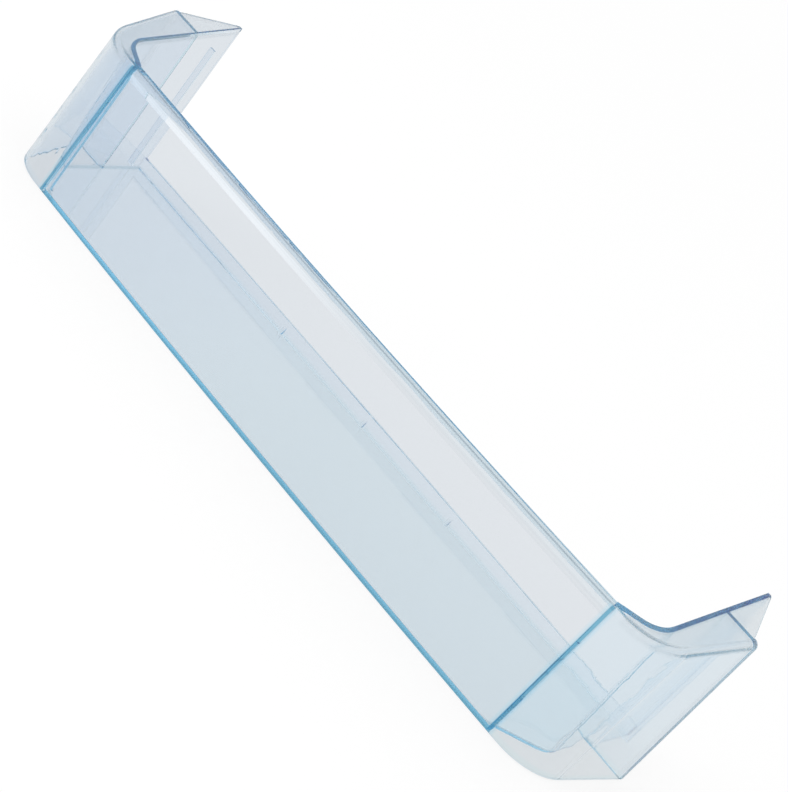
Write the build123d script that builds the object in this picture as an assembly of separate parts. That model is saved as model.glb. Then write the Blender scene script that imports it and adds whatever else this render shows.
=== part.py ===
from build123d import *
import os
from math import cos, hypot, radians, sin, sqrt, tan

# A clear door shelf, moulded in one piece. X runs along the shelf, Y from its front to the door behind it.

# Driving dimensions, in millimetres and degrees
front_width = 376.0  # between the two upright creases of the front
front_height = 87.7  # underside to the top of the front
depth = 114.0  # foot of a crease to the back of the lip
wall = 2.5  # front, skirts, lip, flanges and top bands
floor = 2.0  # the tray's floor
end_wall = 2.0  # the tray's end walls
front_bow = 3.2  # the front bows out this much between the creases
front_lean = 3.0  # the front leans back this much
top_rise = 11.1  # the tops of the ends climb this much towards the back

top_round = 4.0  # rounding of the outer top edge, along the front and both ends
rim_land = 0.8  # flat behind that rounding on the thickened top of the front
rim_drop = 5.0  # height of that thickening
rim_blend = 3.0  # slope that runs it out into the panel

lip_height = 9.2  # low back wall at its ends, from the underside
lip_crown = 1.3  # its top arches this much higher in the middle
foot_round = 1.2  # rounding inside the tray where its walls meet the floor
under_round = 3.0  # rounding under the tray where its end walls meet the floor
base_round = 1.0  # rounding of the outer bottom edge
edge_round = 0.6  # softened free edges

skirt_flat = 5.5  # run of the front beyond a crease before it turns
skirt_radius = 32.0  # turn of the outer skirt
skirt_flare = 16.6  # the skirts spread this much towards the back

bay_width = 32.4  # how far the tray widens beyond a crease at the back, to the middle of the wall
bay_flare = 6.7  # the end walls spread this much towards the back
bay_radius = 20.0  # turn of an end wall
bay_start_foot = 7.5  # front face to where an end wall turns outwards, at the foot
bay_start_top = 4.2  # the same at the top
bay_corner_foot = 31.0  # foot of the front to where an end wall turns back, at the foot
bay_corner_top = 19.0  # the same at the top

flange_round = 1.5  # outer corner between a skirt and its mounting flange
guide_depth = 37.5  # back of a mounting flange to the back of the shelf
guide_gap = 26.5  # slot between a flange and the guide rib behind it
guide_thickness = 2.0  # guide rib, front to back
guide_stand = 4.0  # how far it stands out from the end wall
guide_height = 90.7  # underside to the top of the rib
tip_width = 2.0  # blunt end of the top wedge

nub_pitch = 75.0  # small gussets at the foot of the lip, one in the middle
nub_width = 2.0
nub_depth = 2.5
nub_height = 5.0

# Derived places
quarter_turn = radians(90.0)
lean = radians(front_lean)
rise = radians(top_rise)
flare = radians(skirt_flare)
spread = radians(bay_flare)
crease = front_width / 2
end_half = end_wall / 2 / cos(spread)  # from the middle of an end wall to its face, measured along X
bow_radius = (crease**2 + front_bow**2) / (2 * front_bow)
bow_centre = bow_radius - front_bow
skirt_corner = crease + skirt_flat + skirt_radius * tan((quarter_turn - flare) / 2)
flange_back = depth - guide_depth
flange_front = flange_back - wall
rim_y = front_height * tan(lean)
rim_depth = top_round + rim_land
peak = front_height + (depth - rim_y) * tan(rise)
clear = 10.0  # by how much a cutting block passes what it cuts
touch = 0.01  # points this near to a plane lie in it
sky = peak + clear
round_steps = 4  # flats that stand for a rounding inside or under the tray
wall_steps = 6  # levels between which an end wall's twisting turn is laid straight


def front_y(z):
    """Front face at a crease, at a height."""
    return z * tan(lean)


def bowed_y(x, inset):
    """Foot of the front less an inset, at a distance from the middle."""
    return bow_centre - sqrt((bow_radius - inset) ** 2 - x**2)


def top_z(y):
    """Sloping top at a distance from the foot of a crease."""
    return front_height + (y - rim_y) * tan(rise)


def bay_x(y):
    """Middle of an end wall's straight run."""
    return crease + bay_width - (depth - y) * tan(spread)


def skirt_x(y):
    """Outer face of a skirt's straight run, at the foot."""
    return skirt_corner + y * tan(flare)


half_length = skirt_x(flange_back) + clear


def prism(points, x0, x1):
    """Solid with a Y-Z section, from x0 to x1."""
    face = Plane.YZ.offset(x0) * make_face(Polyline(*points, close=True))
    return extrude(face, amount=x1 - x0)


def column(points, z0, z1):
    """Solid with an X-Y plan, from z0 to z1."""
    face = Plane.XY.offset(z0) * make_face(Polyline(*points, close=True))
    return extrude(face, amount=z1 - z0)


def mirrored(solid):
    """The solid and its twin at the other end."""
    return solid + mirror(solid, about=Plane.YZ)


def above_top(drop):
    """Everything above the sloping top less a drop."""
    y0 = -front_bow - clear
    y1 = depth + clear
    section = [(y0, top_z(y0) - drop), (y1, top_z(y1) - drop), (y1, sky + clear), (y0, sky + clear)]
    return prism(section, -half_length, half_length)


def round_top_edge(block, drop, radius, back):
    """Round the top edges of a block, apart from the straight one at its back."""
    on_top = []
    for edge in block.edges():
        ends = [edge @ 0, edge @ 0.5, edge @ 1]
        level = all(abs(p.Z - top_z(p.Y) + drop) < touch for p in ends)
        behind = all(abs(p.Y - back) < touch for p in ends)
        if level and not behind:
            on_top.append(edge)
    return fillet(on_top, radius)


def skirt_meets_front(inset):
    """Where a skirt's line and the front's curve, both less an inset, would meet."""
    start = skirt_corner - inset / cos(flare)
    slope = tan(flare)
    a = 1 + slope**2
    b = slope * start - bow_centre
    c = bow_centre**2 + start**2 - (bow_radius - inset) ** 2
    y = (-b - sqrt(b**2 - a * c)) / a
    return start + slope * y, y


def skirt_face(inset, reach):
    """Plan inside the front and the skirts less an inset, at the foot."""
    x, y = skirt_meets_front(inset)
    end = x + (reach - y) * tan(flare)
    front = ThreePointArc((-x, y), (0, bowed_y(0, inset)), (x, y))
    right = Line((x, y), (end, reach))
    back = Line((end, reach), (-end, reach))
    left = Line((-end, reach), (-x, y))
    face = make_face([front, right, back, left])
    return fillet(face.vertices().sort_by(Axis.Y)[:2], skirt_radius - inset)


def skirt_block(inset, back, z0):
    """Leaning block inside the front and skirts less an inset, cut off upright at the back."""
    face = Pos(0, front_y(z0), z0) * skirt_face(inset, back + clear)
    block = extrude(face, amount=(sky - z0) / cos(lean), dir=(0, sin(lean), cos(lean)))
    front = -front_bow - clear
    keep = [(front, z0), (back, z0), (back, sky), (front, sky)]
    block = block & prism(keep, -half_length - clear, half_length + clear)
    return round_top_edge(block - above_top(inset), inset, top_round - inset, back)


def moved_aside(points, distance):
    """An open path moved to its left by a distance."""
    lines = []
    for (ax, ay), (bx, by) in zip(points, points[1:]):
        length = hypot(bx - ax, by - ay)
        ux = (bx - ax) / length
        uy = (by - ay) / length
        lines.append((ax - uy * distance, ay + ux * distance, ux, uy))
    moved = [lines[0][:2]]
    for (ax, ay, ux, uy), (bx, by, vx, vy) in zip(lines, lines[1:]):
        along = ((bx - ax) * vy - (by - ay) * vx) / (ux * vy - uy * vx)
        moved.append((ax + ux * along, ay + uy * along))
    last_x, last_y = points[-1]
    ux, uy = lines[-1][2:]
    moved.append((last_x - uy * distance, last_y + ux * distance))
    return moved


def tray_face(z, side, front, back):
    """Plan of the tray at a height: its end walls' middle lines moved to a side, front to back."""
    share = z / front_height
    start = front_y(z) + bay_start_foot + (bay_start_top - bay_start_foot) * share
    corner = bay_corner_foot + (bay_corner_top - bay_corner_foot) * share
    middle = [(crease, front_y(z)), (crease, start), (bay_x(corner), corner), (bay_x(back), back)]
    path = moved_aside(middle, side)
    first_x = path[0][0]
    path[0] = (first_x, front_y(z) + bowed_y(first_x, front))
    path[3] = (path[2][0] + (back - path[2][1]) * tan(spread), back)
    twin = [(-x, y) for x, y in reversed(path)]
    turn = bay_radius - side
    right = FilletPolyline(*path, radius=[0, turn])
    left = FilletPolyline(*twin, radius=[turn, 0])
    bow = ThreePointArc(twin[3], (0, front_y(z) + bowed_y(0, front)), path[0])
    return Pos(0, 0, z) * make_face([right, Line(path[3], twin[0]), left, bow])


def levels(z0):
    """Heights above z0 at which the tray's plan is drawn."""
    return [z0 + (sky - z0) * step / wall_steps for step in range(1, wall_steps + 1)]


def tray_outside():
    """The tray as a full block, rounded under its end walls."""
    sections = []
    for step in range(round_steps + 1):
        turn = quarter_turn * step / round_steps
        side = under_round * (1 - sin(turn)) - end_wall / 2
        sections.append(tray_face(under_round * (1 - cos(turn)), side, wall / 2, depth))
    for z in levels(under_round):
        sections.append(tray_face(z, -end_wall / 2, wall / 2, depth))
    return loft(sections, ruled=True)


def behind_flanges():
    """Everything behind the front faces of the flanges."""
    far = depth + clear
    section = [(flange_front, 0), (far, 0), (far, sky), (flange_front, sky)]
    return prism(section, -half_length, half_length)


def lip_top():
    """Everything above the arched top of the lip."""
    left = (-half_length, lip_height)
    right = (half_length, lip_height)
    arch = ThreePointArc(left, (0, lip_height + lip_crown), right)
    above = Polyline(right, (half_length, sky), (-half_length, sky), left)
    face = Plane.XZ * make_face([arch, above])
    return extrude(face, amount=-depth - clear)


def hollow():
    """Inside of the tray, rounded where it meets the floor, with the back open above the lip."""
    sections = []
    for step in range(round_steps + 1):
        turn = quarter_turn * step / round_steps
        inset = foot_round * (1 - sin(turn))
        z = floor + foot_round * (1 - cos(turn))
        sections.append(tray_face(z, end_wall / 2 + inset, wall + inset, depth - wall - inset))
    for z in levels(floor + foot_round):
        sections.append(tray_face(z, end_wall / 2, wall, depth - wall))
    inside = loft(sections, ruled=True)
    near = depth - 2 * wall
    far = depth + clear
    near_half = bay_x(near) - end_half
    far_half = bay_x(far) - end_half
    back_gap = column([(-near_half, near), (near_half, near), (far_half, far), (-far_half, far)], 0, sky)
    return inside + (back_gap & lip_top())


def rim_band(z, near, far):
    """Strip of the front's plan between two insets, from crease to crease, at a height."""
    outer = ThreePointArc(
        (-crease, bowed_y(crease, near)), (0, bowed_y(0, near)), (crease, bowed_y(crease, near))
    )
    inner = ThreePointArc(
        (crease, bowed_y(crease, far)), (0, bowed_y(0, far)), (-crease, bowed_y(crease, far))
    )
    face = make_face([outer, Line(outer @ 1, inner @ 0), inner, Line(inner @ 1, outer @ 0)])
    return Pos(0, front_y(z), z) * face


def rim(outer):
    """Thickening along the inside of the front's top, within the outer block."""
    low = front_height - rim_drop
    sections = [
        rim_band(low - rim_blend, wall / 2, wall),
        rim_band(low, wall / 2, rim_depth),
        rim_band(sky, wall / 2, rim_depth),
    ]
    bar = loft(sections, ruled=True) & outer
    back_edges = []
    for edge in bar.edges():
        middle = edge @ 0.5
        inset = middle.Y - front_y(middle.Z) - bowed_y(middle.X, rim_depth)
        if abs(inset) < touch and edge.length > crease:
            back_edges.append(edge)
    return fillet(back_edges, edge_round)


def wedge():
    """Top plate behind a flange, running out to the tip of the end wall."""
    outer = skirt_x(flange_front - front_y(peak)) - top_round
    tip = bay_x(depth)
    plan = [
        (bay_x(flange_front), flange_front),
        (outer, flange_front),
        (outer, flange_back),
        (tip + tip_width, depth - tip_width),
        (tip + end_half, depth),
        (tip, depth),
    ]
    return column(plan, 0, sky) - above_top(0) & above_top(wall)


def guide():
    """Upright rib on the outside of an end wall, which closes the slot behind a flange."""
    near = flange_back + guide_gap
    far = near + guide_thickness
    stand = end_half + guide_stand
    plan = [
        (bay_x(near), near),
        (bay_x(near) + stand, near),
        (bay_x(far) + stand, far),
        (bay_x(far), far),
    ]
    rib = column(plan, under_round, guide_height)
    return fillet(rib.edges().filter_by(Axis.Z).sort_by(Axis.X)[-2:], edge_round)


def nub(x):
    """Small gusset between the floor and the lip."""
    foot = floor / 2
    back = depth - wall / 2
    front = depth - wall - nub_depth
    top = floor + nub_height
    section = [(front, foot), (front, floor), (depth - wall, top), (back, top), (back, foot)]
    return prism(section, x - nub_width / 2, x + nub_width / 2)


def round_flange(block):
    """Round the block's back edges, apart from the one it stands on."""
    behind = []
    for edge in block.edges():
        ends = [edge @ 0, edge @ 0.5, edge @ 1]
        if all(abs(p.Y - flange_back) < touch for p in ends) and ends[1].Z > touch:
            behind.append(edge)
    return fillet(behind, flange_round)


def round_base(block):
    """Round the block's bottom edge, front and sides."""
    below = []
    for edge in block.edges():
        ends = [edge @ 0, edge @ 0.5, edge @ 1]
        if all(abs(p.Z) < touch for p in ends) and ends[1].Y < flange_back - touch:
            below.append(edge)
    return fillet(below, base_round)


def round_lip(shelf):
    """Soften the two long edges on top of the lip."""
    edges = []
    for edge in shelf.edges():
        middle = edge @ 0.5
        on_lip = middle.Y > depth - wall - touch and lip_height < middle.Z < lip_height + lip_crown + touch
        if on_lip and edge.length > crease:
            edges.append(edge)
    return fillet(edges, edge_round)


def door_shelf():
    """The whole moulding, the feet of its creases on Y = 0 and its underside on Z = 0."""
    outer = round_base(round_flange(skirt_block(0, flange_back, 0)))
    shell = outer - skirt_block(wall, flange_front, -clear)
    tray = tray_outside() & (outer + behind_flanges()) - above_top(0)
    shelf = shell + tray - hollow()
    shelf = shelf + rim(outer) + mirrored(wedge()) + mirrored(guide())
    for step in (-1, 0, 1):
        shelf = shelf + nub(step * nub_pitch)
    return round_lip(shelf)


shelf = Pos(0, (front_bow - depth) / 2, 0) * door_shelf()
os.makedirs("parts", exist_ok=True)
export_step(shelf, "parts/door_shelf.step")
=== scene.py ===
import bpy
from mathutils import Matrix, Vector

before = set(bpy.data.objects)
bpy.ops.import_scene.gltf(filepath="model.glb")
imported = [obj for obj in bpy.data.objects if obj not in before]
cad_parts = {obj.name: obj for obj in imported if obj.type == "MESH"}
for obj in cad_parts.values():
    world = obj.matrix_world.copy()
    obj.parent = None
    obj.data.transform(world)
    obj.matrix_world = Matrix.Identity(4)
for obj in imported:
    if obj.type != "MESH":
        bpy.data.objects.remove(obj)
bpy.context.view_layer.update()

# Camera, read from the photograph: place in metres, directions of view and of the picture's upper edge
IMAGE_WIDTH = 788
IMAGE_HEIGHT = 792
FOCAL_PIXELS = 1600.0
SENSOR = 36.0
CAMERA_PLACE = Vector((0.2945, -0.7150, 0.3611))
VIEW_DIRECTION = Vector((-0.3283, 0.8674, -0.3739))
PICTURE_UP = Vector((-0.7098, 0.0346, 0.7035))

# Key light, in metres and watts
KEY_PLACE = Vector((-0.80, -1.0, 0.56))
KEY_AIM = Vector((-0.05, 0.0, 0.08))
KEY_SIZE = 0.8
KEY_POWER = 6.0

# Clear pale blue styrene: refraction, absorption and the colours of its broad faces, where painted shade
# makes the left side, the left of the tray floor and the front greyer
STYRENE_IOR = 1.59
STYRENE_TINT = (0.10, 0.68, 0.87, 1.0)
STYRENE_DENSITY = 12.0
LEFT_PAINTED_SHADE = (0.87, 0.91, 0.96, 1.0)
RIGHT_SURFACE = (0.935, 0.97, 1.0, 1.0)
PANEL_PAINTED_SHADE = (0.91, 0.935, 0.975, 1.0)
TRAY_LEFT_PAINTED_SHADE = (0.83, 0.90, 0.97, 1.0)
TRAY_RIGHT = (0.89, 0.97, 1.0, 1.0)

# Painted colours of its lines: shade deepening the creases and the foot of the front, with a painted glow
# beside them, and shade at the feet of the end walls and along the rim
CREASE_PAINTED_SHADE = (0.05, 0.30, 0.52, 1.0)
BASE_PAINTED_SHADE = (0.30, 0.53, 0.60, 1.0)
PAINTED_GLOW_BLUE = (0.62, 0.87, 1.0, 1.0)
FOOT_PAINTED_SHADE = (0.50, 0.66, 0.76, 1.0)
RIM_PAINTED_SHADE = (0.32, 0.38, 0.45, 1.0)
BASE_PAINTED_GLOW = 0.6

# Faces of the part that its finish follows, in metres and slopes
CREASE_X = 0.188
FRONT_FOOT = -0.0554
FRONT_BOW = 0.0032
FRONT_LEAN = 0.0524
FRONT_TOP = 0.0877
TOP_START = -0.0508
TOP_SLOPE = 0.1962
FLANGE_BACK = 0.0211
END_BACK = 0.0586
END_X = 0.2204
END_SLOPE = 0.1175
END_START = -0.0479
END_TURN = 0.964

# How far the finish reaches, in metres: full at the first value, gone at the second
# Behind the outer face of the front
SKIN_REACH = (0.0008, 0.0016)
PANEL_REACH = (0.003, 0.006)
RIM_REACH = (0.0045, 0.0054)
# Above the underside
BASE_REACH = (0.0012, 0.0024)
BASE_GLOW_REACH = (0.0024, 0.0035)
TRAY_REACH = (0.0022, 0.0044)
# To both sides of a crease, and past it
LINE_REACH = (0.0007, 0.0014)
GLOW_REACH = (0.0014, 0.0035)
BETWEEN_CREASES = (CREASE_X, CREASE_X + LINE_REACH[1])
# Above the underside and to both sides of an end wall's middle
FOOT_REACH = (0.0014, 0.0028)
# Below the sloping top, and to both sides of a flange's back
TOP_REACH = (0.0045, 0.0054)
FLANGE_REACH = (0.0018, 0.0027)
# From the middle of the part outwards
ENDS_OUTSIDE = (0.1949, 0.1940)
FLANGE_OUTSIDE = (0.2344, 0.2335)

# The rim's painted shade line below the top, in metres: none at the first value, full at the second, none
# at the third
RIM_LINE = (0.0002, 0.0006, 0.0011)

# Moulded finish: slight waves in the surface, gloss that changes from place to place, duller edges
WAVE_SCALE = 22.0
WAVE_HEIGHT = 0.000008
GLOSS_SCALE = 70.0
GLOSS_LEAST = 0.015
GLOSS_MOST = 0.05
RIM_DULL = 0.1
TOP_DULL = 0.22
FLANGE_DULL = 0.35

# Light goes back and forth inside a clear wall many times before it leaves
LIGHT_BOUNCES = 200

# Floor and world: white to the camera, greyer through the plastic
WHITE = (1.0, 1.0, 1.0, 1.0)
GLOW_THROUGH = 0.82
FLOOR_SIZE = 200.0
FLOOR_GAP = 0.0004
FLOOR_PALE = (0.95, 0.95, 0.95, 1.0)
FLOOR_GLOW = 0.85
# X of directions: up to the first the world stays white through the plastic, from the second it is greyer
WORLD_LEFT = (-0.47, -0.33)


def new_material(name):
    """An empty node material, with its node tree and its output node."""
    material = bpy.data.materials.new(name)
    material.use_nodes = True
    tree = material.node_tree
    tree.nodes.clear()
    return material, tree, tree.nodes.new("ShaderNodeOutputMaterial")


def number(tree, operation, first, second=0.0):
    """Output of a math node on sockets or plain numbers."""
    node = tree.nodes.new("ShaderNodeMath")
    node.operation = operation
    for socket, value in zip(node.inputs, (first, second)):
        if isinstance(value, (int, float)):
            socket.default_value = value
        else:
            tree.links.new(value, socket)
    return node.outputs[0]


def both(tree, first, second):
    """Product of two numbers, such as two masks where both hold, or a mask and its strength."""
    return number(tree, "MULTIPLY", first, second)


def apart(tree, first, second):
    """How far two numbers are apart."""
    return number(tree, "ABSOLUTE", number(tree, "SUBTRACT", first, second))


def fade(tree, value, full, none):
    """1 at full and beyond it, falling smoothly to 0 at none. Full lies below or above none."""
    node = tree.nodes.new("ShaderNodeMapRange")
    node.interpolation_type = "SMOOTHSTEP"
    tree.links.new(value, node.inputs["Value"])
    node.inputs["From Min"].default_value = full
    node.inputs["From Max"].default_value = none
    node.inputs["To Min"].default_value = 1.0
    node.inputs["To Max"].default_value = 0.0
    return node.outputs["Result"]


def band(tree, value, start, middle, end):
    """1 where a value is at the middle, falling smoothly to 0 at the start and the end."""
    return number(tree, "SUBTRACT", fade(tree, value, middle, end), fade(tree, value, start, middle))


def tinted(tree, colour, tint, share):
    """A colour, mixed towards a tint by a share. Both are sockets or plain colours."""
    node = tree.nodes.new("ShaderNodeMix")
    node.data_type = "RGBA"
    tree.links.new(share, node.inputs["Factor"])
    for name, value in (("A", colour), ("B", tint)):
        socket = next(entry for entry in node.inputs if entry.name == name and entry.type == "RGBA")
        if isinstance(value, tuple):
            socket.default_value = value
        else:
            tree.links.new(value, socket)
    return node.outputs["Result"]


def noise(tree, place, scale):
    """Soft noise over the part, with so many waves in a metre."""
    node = tree.nodes.new("ShaderNodeTexNoise")
    node.inputs["Scale"].default_value = scale
    tree.links.new(place, node.inputs["Vector"])
    return node.outputs["Fac"]


def behind_front(tree, across, y, z):
    """Distance of a point behind the outer face of the bowed, leaning front."""
    ratio = number(tree, "DIVIDE", across, CREASE_X)
    bow = number(tree, "MULTIPLY", number(tree, "SUBTRACT", both(tree, ratio, ratio), 1.0), FRONT_BOW)
    face = number(tree, "ADD", bow, number(tree, "MULTIPLY", z, FRONT_LEAN))
    return number(tree, "SUBTRACT", number(tree, "SUBTRACT", y, FRONT_FOOT), face)


def below_top(tree, y, z):
    """Distance of a point below the sloping top."""
    climb = number(tree, "MULTIPLY", number(tree, "SUBTRACT", y, TOP_START), TOP_SLOPE)
    return number(tree, "SUBTRACT", number(tree, "ADD", climb, FRONT_TOP), z)


def from_end_wall(tree, across, y):
    """Distance of a point from the middle of the nearer end wall, along X, at the foot."""
    behind = number(tree, "SUBTRACT", END_BACK, y)
    straight = number(tree, "SUBTRACT", END_X, number(tree, "MULTIPLY", behind, END_SLOPE))
    start = number(tree, "SUBTRACT", y, END_START)
    turn = number(tree, "ADD", number(tree, "MULTIPLY", start, END_TURN), CREASE_X)
    return apart(tree, across, number(tree, "MINIMUM", straight, turn))


def surface_colour(tree, x, across, y, z):
    """Pale blue, with painted shade that makes the left side and the front greyer and deepens the lines
    at creases, feet and rim, and a painted glow beside the creases and the foot of the front.
    """
    behind = behind_front(tree, across, y, z)
    skin = fade(tree, behind, *SKIN_REACH)
    between = fade(tree, across, *BETWEEN_CREASES)

    # Broad faces, with painted shade: greyer towards the left, on the left of the tray floor, and on the
    # front
    colour = tinted(tree, RIGHT_SURFACE, LEFT_PAINTED_SHADE, fade(tree, x, -CREASE_X, CREASE_X))
    tray = tinted(tree, TRAY_RIGHT, TRAY_LEFT_PAINTED_SHADE, fade(tree, x, -CREASE_X, 0.0))
    colour = tinted(tree, colour, tray, fade(tree, z, *TRAY_REACH))
    panel_shade = both(tree, fade(tree, behind, *PANEL_REACH), between)
    colour = tinted(tree, colour, PANEL_PAINTED_SHADE, panel_shade)

    # Painted shade: dark lines at the feet of the end walls and along the rim
    from_wall = from_end_wall(tree, across, y)
    foot = both(tree, fade(tree, z, *FOOT_REACH), fade(tree, from_wall, *FOOT_REACH))
    colour = tinted(tree, colour, FOOT_PAINTED_SHADE, foot)
    rim_shade = band(tree, below_top(tree, y, z), *RIM_LINE)
    at_rim = both(tree, fade(tree, behind, *RIM_REACH), between)
    colour = tinted(tree, colour, RIM_PAINTED_SHADE, both(tree, rim_shade, at_rim))

    # Creases and foot of the front: the wall's own edge-on blue, deepened by painted shade, over a
    # painted glow beside them
    from_crease = apart(tree, across, CREASE_X)
    # Painted glow: a lighter cyan beside the creases and along the foot of the front
    base_glow = both(tree, both(tree, fade(tree, z, *BASE_GLOW_REACH), between), BASE_PAINTED_GLOW)
    crease_glow = fade(tree, from_crease, *GLOW_REACH)
    glow = both(tree, number(tree, "MAXIMUM", base_glow, crease_glow), skin)
    colour = tinted(tree, colour, PAINTED_GLOW_BLUE, glow)
    base_shade = both(tree, fade(tree, z, *BASE_REACH), between)
    colour = tinted(tree, colour, BASE_PAINTED_SHADE, both(tree, base_shade, skin))
    crease_shade = fade(tree, from_crease, *LINE_REACH)
    return tinted(tree, colour, CREASE_PAINTED_SHADE, both(tree, crease_shade, skin))


def surface_roughness(tree, place, across, y, z):
    """Glossy faces, with a duller rim, tops of the ends and outer flange corners."""
    faces = tree.nodes.new("ShaderNodeMapRange")
    faces.inputs["To Min"].default_value = GLOSS_LEAST
    faces.inputs["To Max"].default_value = GLOSS_MOST
    tree.links.new(noise(tree, place, GLOSS_SCALE), faces.inputs["Value"])
    top = fade(tree, below_top(tree, y, z), *TOP_REACH)
    front = fade(tree, behind_front(tree, across, y, z), *RIM_REACH)
    ends = fade(tree, across, *ENDS_OUTSIDE)
    flange = fade(tree, apart(tree, y, FLANGE_BACK), *FLANGE_REACH)
    outside = fade(tree, across, *FLANGE_OUTSIDE)
    roughness = faces.outputs["Result"]
    edges = ((top, front, RIM_DULL), (top, ends, TOP_DULL), (flange, outside, FLANGE_DULL))
    for first, second, dull in edges:
        edge = both(tree, both(tree, first, second), dull)
        roughness = number(tree, "MAXIMUM", roughness, edge)
    return roughness


def clear_blue_plastic():
    """Clear styrene: blue where it is seen lengthwise, through its absorption and, at creases and feet,
    through painted shade.
    """
    material, tree, output = new_material("clear_blue_plastic")
    place = tree.nodes.new("ShaderNodeTexCoord").outputs["Object"]
    split = tree.nodes.new("ShaderNodeSeparateXYZ")
    tree.links.new(place, split.inputs[0])
    x, y, z = split.outputs
    across = number(tree, "ABSOLUTE", x)
    shader = tree.nodes.new("ShaderNodeBsdfPrincipled")
    shader.inputs["Transmission Weight"].default_value = 1.0
    shader.inputs["IOR"].default_value = STYRENE_IOR
    tree.links.new(surface_colour(tree, x, across, y, z), shader.inputs["Base Color"])
    tree.links.new(surface_roughness(tree, place, across, y, z), shader.inputs["Roughness"])
    waves = tree.nodes.new("ShaderNodeBump")
    waves.inputs["Distance"].default_value = WAVE_HEIGHT
    tree.links.new(noise(tree, place, WAVE_SCALE), waves.inputs["Height"])
    tree.links.new(waves.outputs["Normal"], shader.inputs["Normal"])
    tree.links.new(shader.outputs["BSDF"], output.inputs["Surface"])
    volume = tree.nodes.new("ShaderNodeVolumeAbsorption")
    volume.inputs["Color"].default_value = STYRENE_TINT
    volume.inputs["Density"].default_value = STYRENE_DENSITY
    tree.links.new(volume.outputs["Volume"], output.inputs["Volume"])
    return material


def floor_material():
    """White floor, greyer through and in the plastic. A share of it is lit, so it keeps a soft shadow."""
    material, tree, output = new_material("floor_white")
    lit = tree.nodes.new("ShaderNodeBsdfDiffuse")
    lit.inputs["Color"].default_value = FLOOR_PALE
    glow = tree.nodes.new("ShaderNodeEmission")
    glow.inputs["Color"].default_value = WHITE
    path = tree.nodes.new("ShaderNodeLightPath")
    seen = path.outputs["Is Camera Ray"]
    indirect = number(tree, "MAXIMUM", path.outputs["Is Glossy Ray"], path.outputs["Is Transmission Ray"])
    level = number(tree, "MAXIMUM", seen, both(tree, indirect, GLOW_THROUGH))
    tree.links.new(level, glow.inputs["Strength"])
    share = both(tree, number(tree, "MAXIMUM", seen, indirect), FLOOR_GLOW)
    mix = tree.nodes.new("ShaderNodeMixShader")
    tree.links.new(share, mix.inputs["Fac"])
    tree.links.new(lit.outputs["BSDF"], mix.inputs[1])
    tree.links.new(glow.outputs["Emission"], mix.inputs[2])
    tree.links.new(mix.outputs["Shader"], output.inputs["Surface"])
    return material


def add_floor():
    """A wide floor, a hair below the part."""
    bpy.ops.mesh.primitive_plane_add(size=FLOOR_SIZE, location=(0, 0, -FLOOR_GAP))
    floor = bpy.context.object
    floor.name = "floor"
    floor.data.materials.append(floor_material())


def add_world():
    """White all round. Through the plastic it is greyer, apart from the left."""
    world = bpy.data.worlds.new("studio")
    bpy.context.scene.world = world
    world.use_nodes = True
    tree = world.node_tree
    background = tree.nodes["Background"]
    background.inputs["Color"].default_value = WHITE
    split = tree.nodes.new("ShaderNodeSeparateXYZ")
    tree.links.new(tree.nodes.new("ShaderNodeTexCoord").outputs["Generated"], split.inputs[0])
    away = number(tree, "SUBTRACT", 1.0, fade(tree, split.outputs["X"], *WORLD_LEFT))
    path = tree.nodes.new("ShaderNodeLightPath")
    loss = both(tree, both(tree, path.outputs["Is Transmission Ray"], away), 1.0 - GLOW_THROUGH)
    level = number(tree, "SUBTRACT", 1.0, loss)
    tree.links.new(level, background.inputs["Strength"])


def add_key_light():
    """A square lamp at the front left for the soft shadow, unseen in the plastic and through it."""
    data = bpy.data.lights.new("key", "AREA")
    data.shape = "SQUARE"
    data.size = KEY_SIZE
    data.energy = KEY_POWER
    lamp = bpy.data.objects.new("key", data)
    bpy.context.scene.collection.objects.link(lamp)
    lamp.visible_transmission = False
    lamp.visible_glossy = False
    lamp.location = KEY_PLACE
    lamp.rotation_euler = (KEY_AIM - KEY_PLACE).to_track_quat("-Z", "Y").to_euler()


def add_camera():
    """The photograph's camera, which is held at a slant."""
    data = bpy.data.cameras.new("camera")
    data.sensor_width = SENSOR
    data.lens = FOCAL_PIXELS * SENSOR / max(IMAGE_WIDTH, IMAGE_HEIGHT)
    camera = bpy.data.objects.new("camera", data)
    bpy.context.scene.collection.objects.link(camera)
    back = -VIEW_DIRECTION.normalized()
    right = PICTURE_UP.cross(back).normalized()
    up = back.cross(right)
    turn = Matrix((right, up, back)).transposed()
    camera.matrix_world = Matrix.Translation(CAMERA_PLACE) @ turn.to_4x4()
    bpy.context.scene.camera = camera


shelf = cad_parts["door_shelf"]
shelf.data.materials.clear()
shelf.data.materials.append(clear_blue_plastic())
add_floor()
add_world()
add_key_light()
add_camera()
bpy.context.scene.view_settings.view_transform = "Standard"
cycles = bpy.context.scene.cycles
cycles.max_bounces = LIGHT_BOUNCES
cycles.glossy_bounces = LIGHT_BOUNCES
cycles.transmission_bounces = LIGHT_BOUNCES
